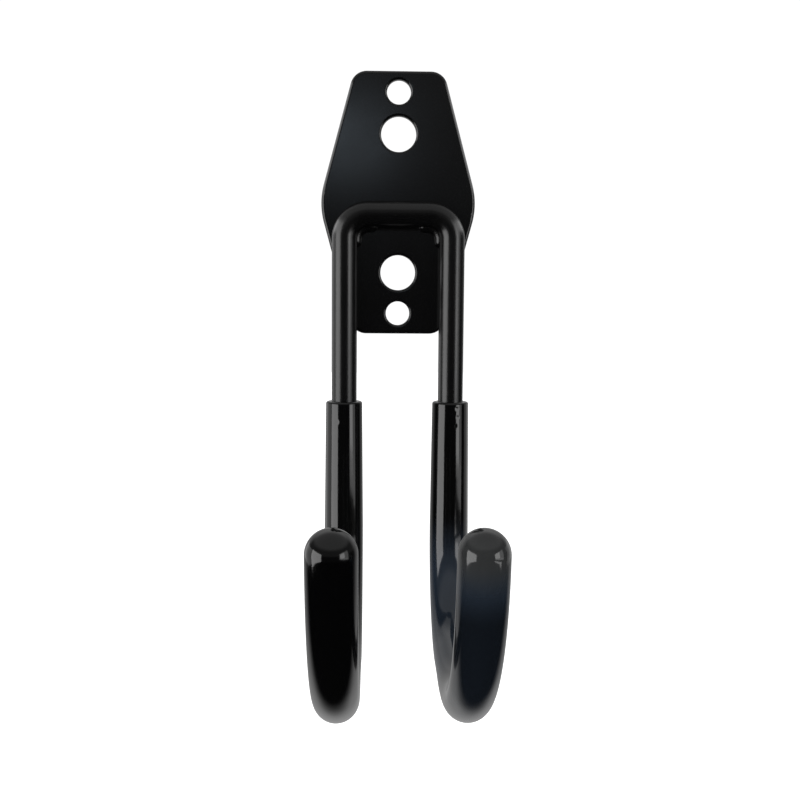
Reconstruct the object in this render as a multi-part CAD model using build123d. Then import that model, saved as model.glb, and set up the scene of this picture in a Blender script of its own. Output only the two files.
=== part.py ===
from build123d import *
import os
from math import asin, atan2, hypot, tan

# Wall holder for a coiled charging cable: a pierced steel plate, one bent steel rod welded to
# its front, and a soft sleeve over each hook of the rod. All sizes are in millimetres.
# The origin is the middle of the plate's back face, which lies on the wall. +X is to the right
# of someone facing the wall, +Y points into the wall and +Z is up.

# Plate: a tall six-sided blank, widest across its waist, with four screw holes in a line
plate_height = 85.9
plate_width = 51.0
plate_end_width = 29.5
plate_thickness = 2.5
plate_waist_radius = 24.2
plate_corner_radius = 5.5
plate_front_round = 1.1
plate_back_round = 0.4
screw_hole_diameter = 7.9
screw_hole_spacing = 72.3
anchor_hole_diameter = 11.6
anchor_hole_spacing = 45.3
hole_front_round = 0.8
hole_back_round = 0.3

# Rod: 8 mm bar under its coat, bent to a crossbar on the plate, two arms straight down, and two
# hooks that come forward and up
rod_diameter = 8.3
arm_spacing = 35.3
crossbar_drop = 3.75
corner_radius = 8.0
arm_length = 104.9
heel_radius = 33.7
heel_turn = 81.7
sole_length = 9.8
toe_radius = 59.3
toe_turn = 91.7
tip_length = 1.0
rod_end_chamfer = 1.2

# Sleeves: soft tubes closed at the tip, thin at the mouth and thickest round the heel
sleeve_clearance = 0.05
sleeve_mouth_wall = 1.82
sleeve_heel_wall = 2.25
sleeve_toe_wall = 2.08
sleeve_swell_length = 42.0
sleeve_length = 43.4
sleeve_mouth_round = 0.8
sleeve_tip_wall = 2.5

# Welds: one bead inside each corner of the rod and a short one under the crossbar
weld_radius = 2.1
weld_inset = 0.5
weld_corner_run = 0.8
weld_middle_radius = 1.5
weld_middle_inset = 1.2
weld_middle_length = 3.4

# Where the rod lies, from the sizes above
rod_radius = rod_diameter / 2
plate_front_y = -plate_thickness
rod_y = plate_front_y - rod_radius
arm_x = arm_spacing / 2
crossbar_z = -crossbar_drop
corner_end_z = crossbar_z - corner_radius
heel_start_z = crossbar_z - arm_length
sleeve_top_z = heel_start_z + sleeve_length
bore_radius = rod_radius + sleeve_clearance
sleeve_mouth_radius = bore_radius + sleeve_mouth_wall
sleeve_heel_radius = bore_radius + sleeve_heel_wall
sleeve_toe_radius = bore_radius + sleeve_toe_wall


def hook_lines(top_z, extra=0.0):
    """Centreline of one hook on the YZ plane: arm, heel, sole, toe and tip."""
    with BuildLine(Plane.YZ):
        arm = Line((rod_y, top_z), (rod_y, heel_start_z))
        heel = JernArc(arm @ 1, arm % 1, heel_radius, -heel_turn)
        sole = Line(heel @ 1, heel @ 1 + (heel % 1) * sole_length)
        toe = JernArc(sole @ 1, sole % 1, toe_radius, -toe_turn)
        tip = Line(toe @ 1, toe @ 1 + (toe % 1) * (tip_length + extra))
    return [arm, heel, sole, toe, tip]


def across(curve, position):
    """Plane square to a curve, at a position from 0 at its start to 1 at its end."""
    return Plane(origin=curve @ position, z_dir=curve % position)


def tube_along(curve, radius):
    """Round bar swept along a curve, square to it at both ends."""
    return sweep(across(curve, 0) * Circle(radius), path=curve)


def make_plate():
    """Stamped plate: rolled front edges on the outline and the holes, crisper ones behind."""
    half_height = plate_height / 2
    half_end = plate_end_width / 2
    # A flank is the line from an end's sharp corner that just touches the waist's round
    inward = half_end - (plate_width / 2 - plate_waist_radius)
    lean = asin(plate_waist_radius / hypot(inward, half_height)) - atan2(inward, half_height)
    half_waist = half_end + half_height * tan(lean)

    corners = [
        (-half_end, half_height),
        (half_end, half_height),
        (half_waist, 0),
        (half_end, -half_height),
        (-half_end, -half_height),
        (-half_waist, 0),
    ]
    with BuildPart() as plate:
        with BuildSketch(Plane.XZ):
            with BuildLine():
                Polyline(*corners, close=True)
            make_face()
            waist_corners = vertices().sort_by(lambda v: abs(v.Y))[:2]
            fillet(waist_corners, plate_waist_radius)
            end_corners = vertices().group_by(lambda v: abs(v.Y))[-1]
            fillet(end_corners, plate_corner_radius)
        extrude(amount=plate_thickness)
        fillet(faces().sort_by(Axis.Y)[0].edges(), plate_front_round)
        fillet(faces().sort_by(Axis.Y)[-1].edges(), plate_back_round)

        with BuildSketch(Plane.XZ):
            with Locations((0, screw_hole_spacing / 2), (0, -screw_hole_spacing / 2)):
                Circle(screw_hole_diameter / 2)
            with Locations((0, anchor_hole_spacing / 2), (0, -anchor_hole_spacing / 2)):
                Circle(anchor_hole_diameter / 2)
        extrude(amount=plate_thickness, mode=Mode.SUBTRACT)
        rims = edges(Select.LAST).filter_by(GeomType.CIRCLE).group_by(Axis.Y)
        fillet(rims[0], hole_front_round)
        back_rims = faces().sort_by(Axis.Y)[-1].inner_wires().edges()
        fillet(back_rims, hole_back_round)
    solid = plate.part.solids()[0]
    solid.label = "back_plate"
    return solid


def make_rod():
    """One bar bent four times: crossbar, two square corners, two arms and two hooks."""
    bend_x = arm_x - corner_radius
    with BuildLine(Plane.XZ.offset(-rod_y)) as crossbar:
        left_arm = Line((-arm_x, corner_end_z - rod_radius), (-arm_x, corner_end_z))
        left_corner = JernArc(left_arm @ 1, left_arm % 1, corner_radius, -90)
        bar = Line(left_corner @ 1, left_corner @ 1 + Vector(2 * bend_x, 0, 0))
        right_corner = JernArc(bar @ 1, bar % 1, corner_radius, -90)
        Line(right_corner @ 1, right_corner @ 1 - Vector(0, 0, rod_radius))
    rod = tube_along(crossbar.wire(), rod_radius)

    lines = hook_lines(corner_end_z - rod_radius, sleeve_toe_radius - sleeve_tip_wall)
    hook = tube_along(Wire(lines), rod_radius)
    cut_end = hook.faces().sort_by_distance(lines[-1] @ 1)[0]
    hook = chamfer(cut_end.edges(), rod_end_chamfer)
    for side in (-1, 1):
        rod = rod + Pos(side * arm_x, 0, 0) * hook
    solid = rod.clean().solids()[0]
    solid.label = "hook_rod"
    return solid


def make_sleeve(side, label):
    """Tube that swells to its heel, narrows along the sole and ends in a dome over the rod."""
    with BuildPart() as mouth:
        rim_plane = Plane(origin=(0, rod_y, sleeve_top_z), z_dir=(0, 0, -1))
        with BuildSketch(rim_plane):
            Circle(sleeve_mouth_radius)
        with BuildSketch(rim_plane.offset(sleeve_swell_length)):
            Circle(sleeve_heel_radius)
        loft(ruled=True)
        fillet(faces().sort_by(Axis.Z)[-1].edges(), sleeve_mouth_round)
    arm, heel, sole, toe, tip = hook_lines(sleeve_top_z - sleeve_swell_length)
    outer = mouth.part + tube_along(Wire([arm, heel]), sleeve_heel_radius)
    sole_start = across(sole, 0) * Circle(sleeve_heel_radius)
    sole_end = across(sole, 1) * Circle(sleeve_toe_radius)
    outer = outer + loft([sole_start, sole_end], ruled=True)
    outer = outer + tube_along(Wire([toe, tip]), sleeve_toe_radius)
    outer = outer + Pos(*(tip @ 1)) * Sphere(sleeve_toe_radius)

    reach = sleeve_toe_radius - sleeve_tip_wall + sleeve_clearance
    bore = tube_along(Wire(hook_lines(sleeve_top_z + 1, reach)), bore_radius)
    solid = (Pos(side * arm_x, 0, 0) * (outer - bore)).clean().solids()[0]
    solid.label = label
    return solid


def make_weld(path, radius, label, rod):
    """Bead along a path on the plate's front face, filling the crevice beside the rod."""
    bead = tube_along(path, radius)
    for end in (path @ 0, path @ 1):
        bead = bead + Pos(*end) * Sphere(radius)
    on_front = (Align.CENTER, Align.MAX, Align.CENTER)
    in_front = Box(plate_width, 2 * rod_diameter, plate_height, align=on_front)
    bead = bead & (Pos(0, plate_front_y, 0) * in_front)
    solid = (bead - rod).clean().solids()[0]
    solid.label = label
    return solid


def corner_weld_path(side):
    """Line that runs inside a corner of the rod, a little under the bar's edge."""
    inset = rod_radius - weld_inset
    bend_x = arm_x - corner_radius
    with BuildLine(Plane.XZ.offset(-plate_front_y)) as path:
        along = Line((bend_x - weld_corner_run, crossbar_z - inset), (bend_x, crossbar_z - inset))
        round_corner = JernArc(along @ 1, along % 1, corner_radius - inset, -90)
        Line(round_corner @ 1, round_corner @ 1 - Vector(0, 0, weld_corner_run))
    wire = path.wire()
    return wire if side > 0 else wire.mirror(Plane.YZ)


def middle_weld_path():
    """Short line under the middle of the crossbar."""
    z = crossbar_z - rod_radius + weld_middle_inset
    half = weld_middle_length / 2
    return Wire([Edge.make_line((-half, plate_front_y, z), (half, plate_front_y, z))])


parts = {}
parts["back_plate"] = make_plate()
parts["hook_rod"] = make_rod()
parts["left_sleeve"] = make_sleeve(-1, "left_sleeve")
parts["right_sleeve"] = make_sleeve(1, "right_sleeve")
rod = parts["hook_rod"]
parts["left_weld"] = make_weld(corner_weld_path(-1), weld_radius, "left_weld", rod)
parts["right_weld"] = make_weld(corner_weld_path(1), weld_radius, "right_weld", rod)
parts["middle_weld"] = make_weld(middle_weld_path(), weld_middle_radius, "middle_weld", rod)

os.makedirs("parts", exist_ok=True)
for name, solid in parts.items():
    export_step(solid, f"parts/{name}.step")
    print(name, round(solid.volume, 1))
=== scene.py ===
import math

import bmesh
import bpy
from mathutils import Matrix, Vector


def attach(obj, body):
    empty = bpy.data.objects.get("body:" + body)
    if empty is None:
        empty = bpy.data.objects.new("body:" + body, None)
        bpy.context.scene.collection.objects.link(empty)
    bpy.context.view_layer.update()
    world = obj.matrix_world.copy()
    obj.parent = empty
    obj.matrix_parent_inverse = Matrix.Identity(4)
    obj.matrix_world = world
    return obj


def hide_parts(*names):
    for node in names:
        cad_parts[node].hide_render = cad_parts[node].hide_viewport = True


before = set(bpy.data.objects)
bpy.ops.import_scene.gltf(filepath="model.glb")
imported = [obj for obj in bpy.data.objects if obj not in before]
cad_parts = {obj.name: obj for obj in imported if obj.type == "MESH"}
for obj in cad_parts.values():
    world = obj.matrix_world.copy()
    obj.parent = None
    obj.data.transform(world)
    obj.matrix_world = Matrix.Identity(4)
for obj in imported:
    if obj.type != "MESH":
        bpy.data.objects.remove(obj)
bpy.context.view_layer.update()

scene = bpy.context.scene


# The view: a 45 mm lens a third of a metre in front of the hook, a little to its left and about
# level with the plate's lowest hole, looking slightly down.
camera_data = bpy.data.cameras.new("front_view")
camera_data.lens = 45.0
camera_data.sensor_width = 36.0
camera_data.clip_start = 0.01
camera_data.clip_end = 30.0
camera = bpy.data.objects.new("front_view", camera_data)
camera.location = (-0.0085, -0.33794, -0.03346)
camera.rotation_euler = [math.radians(turn) for turn in (84.585, -0.416, -1.588)]
scene.collection.objects.link(camera)
scene.camera = camera
scene.view_settings.view_transform = "Standard"


# The studio: a white floor well below the hook, soft boxes a metre to its left and right, and a
# small bluish window above the lens for the plate's sheen. Some of them light only the pieces
# that are added to them further down. The surround is white to the lens and dim in reflections.
white = (1, 1, 1, 1)
floor_z = -0.46
floor_size = 6.0

floor_mesh = bpy.data.meshes.new("floor")
floor_shape = bmesh.new()
bmesh.ops.create_grid(floor_shape, x_segments=1, y_segments=1, size=floor_size,
                      matrix=Matrix.Translation((0, 0, floor_z)))
floor_shape.to_mesh(floor_mesh)
floor_shape.free()
floor = bpy.data.objects.new("floor", floor_mesh)
scene.collection.objects.link(floor)
floor.visible_glossy = False
floor_paint = bpy.data.materials.new("white_floor")
floor_paint.use_nodes = True
floor_shader = floor_paint.node_tree.nodes["Principled BSDF"]
floor_shader.inputs["Base Color"].default_value = (0.9, 0.9, 0.9, 1)
floor_shader.inputs["Roughness"].default_value = 0.8
floor_shader.inputs["Emission Color"].default_value = white
floor_shader.inputs["Emission Strength"].default_value = 1.0
floor_mesh.materials.append(floor_paint)


def soft_box(name, place, aim, width, height, brightness, colour=(1, 1, 1)):
    """A rectangular soft box at place that faces aim; brightness is the radiance of its cloth."""
    data = bpy.data.lights.new(name, "AREA")
    data.shape = "RECTANGLE"
    data.size = width
    data.size_y = height
    # The cloth's radiance is a quarter of the lamp's power for each square metre
    data.energy = 4 * width * height * brightness
    data.color = colour
    lamp = bpy.data.objects.new(name, data)
    lamp.location = place
    lamp.rotation_euler = (Vector(aim) - Vector(place)).to_track_quat("-Z", "Y").to_euler()
    scene.collection.objects.link(lamp)
    return lamp


def side_box(name, side, y, z, width, height, brightness):
    """A soft box a metre to the left (-1) or right (1) that faces straight across the hook."""
    return soft_box(name, (side, y, z), (0, y, z), width, height, brightness)


side_box("left_box", -1, -0.725, -0.13, 1.15, 0.72, 2.75)
side_box("right_box", 1, -1.01, 0.05, 0.69, 0.46, 2.8)
side_box("right_box_edge", 1, -0.48, 0.05, 0.37, 0.46, 0.9)
side_box("right_box_foot", 1, -0.83, -0.235, 1.05, 0.11, 1.3)
low_box = side_box("right_low_box", 1, -0.98, -0.485, 1.06, 0.13, 2.0)
left_wall = side_box("left_wall", -1, 0.54, -0.125, 1.30, 0.65, 0.62)
right_wall = side_box("right_wall", 1, 0.76, -0.125, 1.28, 0.65, 0.35)
left_top = side_box("left_top_box", -1, -0.25, 0.43, 2.10, 0.42, 2.2)
right_top = side_box("right_top_box", 1, -0.40, 0.46, 2.20, 0.38, 2.0)
window = soft_box("window", (-0.035, -0.42, 0.089), (-0.020, 0.0, 0.021), 0.07, 0.035, 1.8,
                  (0.72, 0.86, 1.0))
for lamp in (low_box, left_wall, right_wall, left_top, right_top, window):
    lamp.light_linking.receiver_collection = bpy.data.collections.new(lamp.name + "_lights")


class Surface:
    """A value in a shader. Sums and products of it add Math nodes; node() adds any other."""

    def __init__(self, tree, socket=None):
        self.tree = tree
        self.socket = socket

    def node(self, kind, settings, sockets, output=0):
        """A new node with its settings, then its sockets' values or links; gives one output."""
        made = self.tree.nodes.new(kind)
        for name, value in settings.items():
            setattr(made, name, value)
        for name, value in sockets.items():
            if isinstance(value, Surface):
                self.tree.links.new(value.socket, made.inputs[name])
            else:
                made.inputs[name].default_value = value
        return Surface(self.tree, made.outputs[output])

    def __add__(self, other):
        return self.node("ShaderNodeMath", {"operation": "ADD"}, {0: self, 1: other})

    def __sub__(self, other):
        return self.node("ShaderNodeMath", {"operation": "SUBTRACT"}, {0: self, 1: other})

    def __rsub__(self, other):
        return self.node("ShaderNodeMath", {"operation": "SUBTRACT"}, {0: other, 1: self})

    def __mul__(self, other):
        return self.node("ShaderNodeMath", {"operation": "MULTIPLY"}, {0: self, 1: other})

    __radd__ = __add__
    __rmul__ = __mul__

    def ramp(self, start, end, low=0.0, high=1.0):
        """Eases from low to high as the value goes from start to end."""
        return self.node("ShaderNodeMapRange", {"interpolation_type": "SMOOTHSTEP"},
                         {"Value": self, "From Min": start, "From Max": end,
                          "To Min": low, "To Max": high})

    def blend(self, low, high, kind="RGBA"):
        """Mixes from low to high as the value goes from 0 to 1; they are colours unless kind
        says otherwise."""
        return self.node("ShaderNodeMix", {"data_type": kind},
                         {"Factor": self, "A": low, "B": high}, "Result")


lens_white = 1.05
world = bpy.data.worlds.new("surround")
scene.world = world
world.use_nodes = True
sky = world.node_tree
sky.nodes.clear()
towards = Surface(sky).node("ShaderNodeTexCoord", {}, {}, "Generated")
back = towards.node("ShaderNodeSeparateXYZ", {}, {0: towards}, "Y")
up = towards.node("ShaderNodeSeparateXYZ", {}, {0: towards}, "Z")
# What the pieces reflect: a grey backdrop behind them, a ceiling, and a room that is black below
# and a little lighter above
backdrop = back.ramp(0.35, 0.70, 0.004, 0.38) * up.ramp(-0.35, -0.75, 1.0, 1.5)
ceiling = up.ramp(0.42, 0.68, 0.0, 0.35)
room = up.ramp(-0.34, -0.22, 0.0, 0.03) + up.ramp(0.07, 0.16, 0.0, 0.11)
reflected = backdrop + ceiling + room
camera_ray = towards.node("ShaderNodeLightPath", {}, {}, "Is Camera Ray")
strength = camera_ray.blend(reflected, lens_white, "FLOAT")
glow = towards.node("ShaderNodeBackground", {}, {"Color": white, "Strength": strength})
sky_out = sky.nodes.new("ShaderNodeOutputWorld")
sky.links.new(glow.socket, sky_out.inputs["Surface"])


# The back plate is stamped steel with rolled edges, powder coated satin black. The coat has a
# fine orange peel, a slightly uneven gloss and a few grains of dust baked in.
coat_black = (0.0010, 0.0010, 0.0011, 1)
coat_dust = (0.035, 0.034, 0.032, 1)
dust_cover = 0.8
plate_gloss = 0.20
peel_depth = 0.0000015


def new_finish(name):
    """A material that is still plain, and the Object coordinates that its patterns read."""
    finish = bpy.data.materials.new(name)
    finish.use_nodes = True
    return finish, Surface(finish.node_tree).node("ShaderNodeTexCoord", {}, {}, "Object")


def set_looks(finish, colour, rough, height, relief):
    """Feeds a finish's shader: its colour, its roughness, and bumps as deep as relief."""
    tree = finish.node_tree
    shader = tree.nodes["Principled BSDF"]
    tree.links.new(colour.socket, shader.inputs["Base Color"])
    tree.links.new(rough.socket, shader.inputs["Roughness"])
    bump = height.node("ShaderNodeBump", {}, {"Height": height, "Distance": relief,
                                              "Strength": 1.0})
    tree.links.new(bump.socket, shader.inputs["Normal"])


def noise(place, scale, detail):
    """Smooth noise about 0.5, with this many waves to the metre."""
    return place.node("ShaderNodeTexNoise", {},
                      {"Vector": place, "Scale": scale, "Detail": detail})


def specks(place, scale, rim, core, rarity):
    """Round grains, 0 outside the rim and 1 in the core, in the few cells over the rarity."""
    cells = {"Vector": place, "Scale": scale}
    away = place.node("ShaderNodeTexVoronoi", {}, cells, "Distance")
    picked = place.node("ShaderNodeTexVoronoi", {}, cells, "Color")
    chance = place.node("ShaderNodeSeparateColor", {}, {"Color": picked}, "Red")
    return away.ramp(rim, core) * chance.ramp(rarity, rarity + 0.005)


def powder_coat(name, gloss, relief):
    """Satin black powder coat; gloss is its roughness and relief the depth of its orange peel."""
    finish, place = new_finish(name)
    peel = noise(place, 650.0, 2.0)
    grain = noise(place, 2600.0, 1.0)
    patches = noise(place, 70.0, 3.0)
    dust = specks(place, 230.0, 0.10, 0.04, 0.975)
    colour = (dust * dust_cover).blend(coat_black, coat_dust)
    rough = gloss + (patches - 0.5) * 0.08 + (grain - 0.5) * 0.04 + dust * 0.2
    height = peel * 0.8 + grain * 0.2 + dust * 0.6
    set_looks(finish, colour, rough, height, relief)
    return finish


def paint(piece, finish):
    """Puts one finish on a piece."""
    piece.data.materials.clear()
    piece.data.materials.append(finish)


def light_with(piece, *lamps):
    """Adds a piece to the few that each of these lamps lights."""
    for lamp in lamps:
        lamp.light_linking.receiver_collection.objects.link(piece)


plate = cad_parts["back_plate"]
light_with(plate, window, left_wall, right_wall, left_top, right_top)
paint(plate, powder_coat("plate_coat", plate_gloss, peel_depth))


# The rod is one length of round steel bar, cold bent into a crossbar, two arms and two hooks and
# powder coated with the plate. Its left half is the mirror of the right.
class Bar:
    """Round stock drawn from a ring of edges: runs are extruded and bends are spun."""

    def __init__(self, radius, start, heading, sides=64):
        self.shape = bmesh.new()
        self.start = Vector(start)
        self.at = self.start.copy()
        self.heading = Vector(heading)
        turn = self.heading.to_track_quat("Z", "X").to_matrix().to_4x4()
        bmesh.ops.create_circle(self.shape, segments=sides, radius=radius,
                                matrix=Matrix.Translation(self.at) @ turn)
        self.first_ring = list(self.shape.edges)
        self.ring = self.first_ring

    def go_back(self, heading):
        """Takes up the first ring again, to go on from the start with another heading."""
        self.ring = self.first_ring
        self.at = self.start.copy()
        self.heading = Vector(heading)

    def points(self):
        """The vertices of the end ring, each once and in the same order on every run."""
        return list(dict.fromkeys(vert for edge in self.ring for vert in edge.verts))

    def widen(self, scale):
        """Scales the end ring about the bar's centreline."""
        bmesh.ops.scale(self.shape, verts=self.points(), vec=(scale, scale, scale),
                        space=Matrix.Translation(-self.at))

    def run(self, length, scale=1.0):
        """Goes straight on, and leaves the end ring wider or narrower by scale."""
        made = bmesh.ops.extrude_edge_only(self.shape, edges=self.ring)
        self.ring = [part for part in made["geom"] if isinstance(part, bmesh.types.BMEdge)]
        step = self.heading * length
        bmesh.ops.translate(self.shape, verts=self.points(), vec=step)
        self.at = self.at + step
        self.widen(scale)

    def bend(self, radius, degrees, axis, steps):
        """Turns about an axis to the side of the bar, as a bending tool does."""
        centre = self.at + Vector(axis).cross(self.heading) * radius
        geometry = self.ring + self.points()
        made = bmesh.ops.spin(self.shape, geom=geometry, cent=centre, axis=axis,
                              angle=math.radians(degrees), steps=steps)
        self.ring = [part for part in made["geom_last"] if isinstance(part, bmesh.types.BMEdge)]
        turn = Matrix.Rotation(math.radians(degrees), 3, Vector(axis))
        self.at = centre + turn @ (self.at - centre)
        self.heading = turn @ self.heading

    def close(self, bulge=0.0):
        """Draws the end ring together to one point, as far on as the bulge."""
        self.run(bulge)
        bmesh.ops.pointmerge(self.shape, verts=self.points(), merge_co=self.at)

    def finish(self, name, sharp=40.0):
        """Turns the shape into a smooth piece with its normals outwards."""
        bmesh.ops.remove_doubles(self.shape, verts=self.shape.verts, dist=1e-7)
        bmesh.ops.recalc_face_normals(self.shape, faces=self.shape.faces)
        for face in self.shape.faces:
            face.smooth = True
        mesh = bpy.data.meshes.new(name)
        self.shape.to_mesh(mesh)
        self.shape.free()
        mesh.set_sharp_from_angle(angle=math.radians(sharp))
        piece = bpy.data.objects.new(name, mesh)
        scene.collection.objects.link(piece)
        return piece


plate_front = -0.0025
rod_radius = 0.00415
rod_y = plate_front - rod_radius
rod_gloss = 0.25
arm_x = 0.01765
arm_length = 0.1049
corner_radius = 0.008
crossbar_z = -0.00375
heel_z = crossbar_z - arm_length
heel_radius = 0.0337
heel_turn = 81.7
sole_length = 0.0098
toe_radius = 0.0593
toe_turn = 91.7
tip_length = 0.001
# How far the rod goes on past the tip, inside the sleeve's dome, and how its end is chamfered
rod_reach = 0.00378
rod_chamfer = 0.0012
rod_end_scale = 0.7

rightwards = (1, 0, 0)
leftwards = (-1, 0, 0)
downwards = (0, 0, -1)
# A bend about the first of these axes goes from rightwards to down, one about the second from
# down to the front
corner_axis = (0, 1, 0)
hook_axis = (-1, 0, 0)


def bend_hook(stock, end_run, heel_steps, toe_steps, sole_scale=1.0):
    """Bends stock from the arm's end along heel, sole and toe, and goes on by end_run."""
    stock.bend(heel_radius, heel_turn, hook_axis, heel_steps)
    stock.run(sole_length, sole_scale)
    stock.bend(toe_radius, toe_turn, hook_axis, toe_steps)
    stock.run(end_run)


bar = Bar(rod_radius, (0, rod_y, crossbar_z), rightwards)
bar.run(arm_x - corner_radius)
bar.bend(corner_radius, 90, corner_axis, steps=24)
bar.run(arm_length - corner_radius)
bend_hook(bar, tip_length + rod_reach - rod_chamfer, heel_steps=24, toe_steps=36)
bar.run(rod_chamfer, rod_end_scale)
bar.close()
bmesh.ops.mirror(bar.shape, geom=bar.shape.verts[:] + bar.shape.edges[:] + bar.shape.faces[:],
                 axis="X", merge_dist=1e-6)
rod = bar.finish("bent_rod")
light_with(rod, left_wall, left_top, right_top)
paint(rod, powder_coat("rod_coat", rod_gloss, peel_depth))
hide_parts("hook_rod")
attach(rod, "root")


# The weld beads join the rod to the plate's front, one inside each corner and a short one under
# the crossbar. Each is a row of overlapping ripples, coated with the rest.
def ripple(bead, count, step, depth):
    """Lays ripples in a row; step moves the bead on by a third of a ripple."""
    for _ in range(count):
        for scale in (1 + depth, 1 / (1 + depth), 1.0):
            step()
            bead.widen(scale)


def round_off(stock, radius, count=5):
    """Ends stock in half a ball, in as many steps as count."""
    angles = [math.radians(90 * k / count) for k in range(count + 1)]
    for low, high in zip(angles, angles[1:-1]):
        stock.run(radius * (math.sin(high) - math.sin(low)), math.cos(high) / math.cos(low))
    stock.close(radius * (1 - math.sin(angles[-2])))


bead_sides = 24
bead_sharp = 60
ripple_depth = 0.02
weld_gloss = 0.26
weld_peel_depth = 0.000002
weld_coat = powder_coat("weld_coat", weld_gloss, weld_peel_depth)

bead_radius = 0.0021
bead_inset = 0.0005
bead_bend = corner_radius - rod_radius + bead_inset
bead_start = (arm_x - corner_radius, plate_front, crossbar_z - rod_radius + bead_inset)
# A corner bead has a straight run at each end; the lower one is shorter by the lead into the bend
bead_lead = 0.0001
bead_run = 0.0008
bead_ripples = 9
bead_step = 90 / (3 * bead_ripples)
for side, name in ((-1, "left_weld"), (1, "right_weld")):
    bead = Bar(bead_radius, bead_start, rightwards, bead_sides)
    bead.run(bead_lead)
    ripple(bead, bead_ripples, lambda: bead.bend(bead_bend, bead_step, corner_axis, steps=1),
           ripple_depth)
    bead.run(bead_run - bead_lead)
    round_off(bead, bead_radius)
    bead.go_back(leftwards)
    bead.run(bead_run)
    round_off(bead, bead_radius)
    if side < 0:
        bmesh.ops.scale(bead.shape, verts=bead.shape.verts, vec=(-1, 1, 1))
    weld = bead.finish(name + "_bead", bead_sharp)
    paint(weld, weld_coat)
    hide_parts(name)
    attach(weld, "root")

middle_radius = 0.0015
middle_inset = 0.0012
middle_half = 0.0017
middle_ripples = 2
middle_step = middle_half / (3 * middle_ripples)
middle_start = (0, plate_front, crossbar_z - rod_radius + middle_inset)
bead = Bar(middle_radius, middle_start, rightwards, bead_sides)
for heading in (rightwards, leftwards):
    bead.go_back(heading)
    ripple(bead, middle_ripples, lambda: bead.run(middle_step), ripple_depth)
    round_off(bead, middle_radius)
weld = bead.finish("middle_weld_bead", bead_sharp)
paint(weld, weld_coat)
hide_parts("middle_weld")
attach(weld, "root")


# The sleeves are soft vinyl, dipped thick and glossy over each arm and hook, with a rounded lip at
# the mouth and a dome at the tip. The skin has small dents and specks. On the right one a painted
# sheen, a painted reflection in its colour, turns from grey at the tip to navy below it.
vinyl_black = (0.0006, 0.0006, 0.0007, 1)
vinyl_dust = (0.04, 0.04, 0.038, 1)
# Colours of the painted sheen: grey near the tip, navy lower down
painted_sheen_grey = (0.0225, 0.0235, 0.024, 1)
painted_sheen_navy = (0.0160, 0.0230, 0.034, 1)
skin_relief = 0.00025


def soft_vinyl(name, dents, sheen_amount):
    """Glossy black vinyl with slow waves, specks of dust and small dents; the third argument is how
    much painted sheen, a painted reflection, lies on its tip and heel. A dent is the place of its
    middle, its radius and its depth."""
    finish, place = new_finish(name)
    slow = noise(place, 55.0, 1.0)
    fine = noise(place, 420.0, 2.0)
    smear = noise(place, 110.0, 4.0)
    dust = specks(place, 190.0, 0.07, 0.03, 0.970)
    depth = place.node("ShaderNodeSeparateXYZ", {}, {0: place}, "Y")
    level = place.node("ShaderNodeSeparateXYZ", {}, {0: place}, "Z")
    # In metres: the painted sheen lies on the front of the toe, most of all near the tip, and low on
    # the heel
    sheen_on_tip = depth.ramp(-0.075, -0.095) * level.ramp(-0.1075, -0.091, 0.18, 1.0)
    sheen_on_heel = depth.ramp(-0.065, -0.045) * level.ramp(-0.102, -0.124, 0.0, 0.95)
    painted_sheen = level.ramp(-0.091, -0.101).blend(painted_sheen_grey, painted_sheen_navy)
    # The black vinyl with the painted sheen mixed into its colour
    skin_and_sheen_colour = ((sheen_on_tip + sheen_on_heel) * sheen_amount).blend(vinyl_black, painted_sheen)
    colour = (dust * dust_cover).blend(skin_and_sheen_colour, vinyl_dust)
    rough = 0.09 + smear.ramp(0.45, 0.75) * 0.05 + dust * 0.3
    height = slow + fine * 0.03 + dust * 0.05
    for middle, radius, dent_depth in dents:
        away = place.node("ShaderNodeVectorMath", {"operation": "DISTANCE"},
                          {0: place, 1: middle}, "Value")
        height = height - away.ramp(radius, 0.0) * dent_depth
    set_looks(finish, colour, rough, height, skin_relief)
    return finish


sleeve_sides = 96
sleeve_sharp = 50
clearance = 0.00005
bore_radius = rod_radius + clearance
mouth_radius = 0.00602
heel_skin = 0.00643
toe_skin = 0.00626
lip = 0.0008
lip_steps = 6
sleeve_length = 0.0434
swell_length = 0.042
left_dents = [((-0.0197, -0.0121, -0.0717), 0.0012, 0.3)]
right_dents = [((0.0194, -0.0121, -0.0672), 0.0010, 0.35),
               ((0.0197, -0.0120, -0.0700), 0.0009, 0.35),
               ((0.0190, -0.0122, -0.0728), 0.0011, 0.35)]
# Only the right sleeve gets the painted sheen; the left one has none
for side, name, dents, sheen_amount, lamps in (
        (-1, "left_sleeve", left_dents, 0.0, [left_wall]),
        (1, "right_sleeve", right_dents, 1.0, [right_wall, low_box])):
    mouth = (side * arm_x, rod_y, heel_z + sleeve_length)
    skin = Bar(bore_radius, mouth, downwards, sleeve_sides)
    skin.run(0.0, (mouth_radius - lip) / bore_radius)
    for k in range(lip_steps):
        low, high = (math.radians(90 * step / lip_steps) for step in (k, k + 1))
        before, after = (mouth_radius - lip + lip * math.sin(angle) for angle in (low, high))
        skin.run(lip * (math.cos(low) - math.cos(high)), after / before)
    skin.run(swell_length - lip, heel_skin / mouth_radius)
    skin.run(sleeve_length - swell_length)
    bend_hook(skin, tip_length, heel_steps=36, toe_steps=60, sole_scale=toe_skin / heel_skin)
    round_off(skin, toe_skin, count=18)
    # The bore, from the mouth again to just past the rod's end
    skin.go_back(downwards)
    skin.run(sleeve_length)
    bend_hook(skin, tip_length + rod_reach + clearance, heel_steps=24, toe_steps=36)
    skin.close()
    sleeve = skin.finish(name + "_skin", sleeve_sharp)
    light_with(sleeve, *lamps)
    paint(sleeve, soft_vinyl(name + "_vinyl", dents, sheen_amount))
    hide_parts(name)
    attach(sleeve, "root")
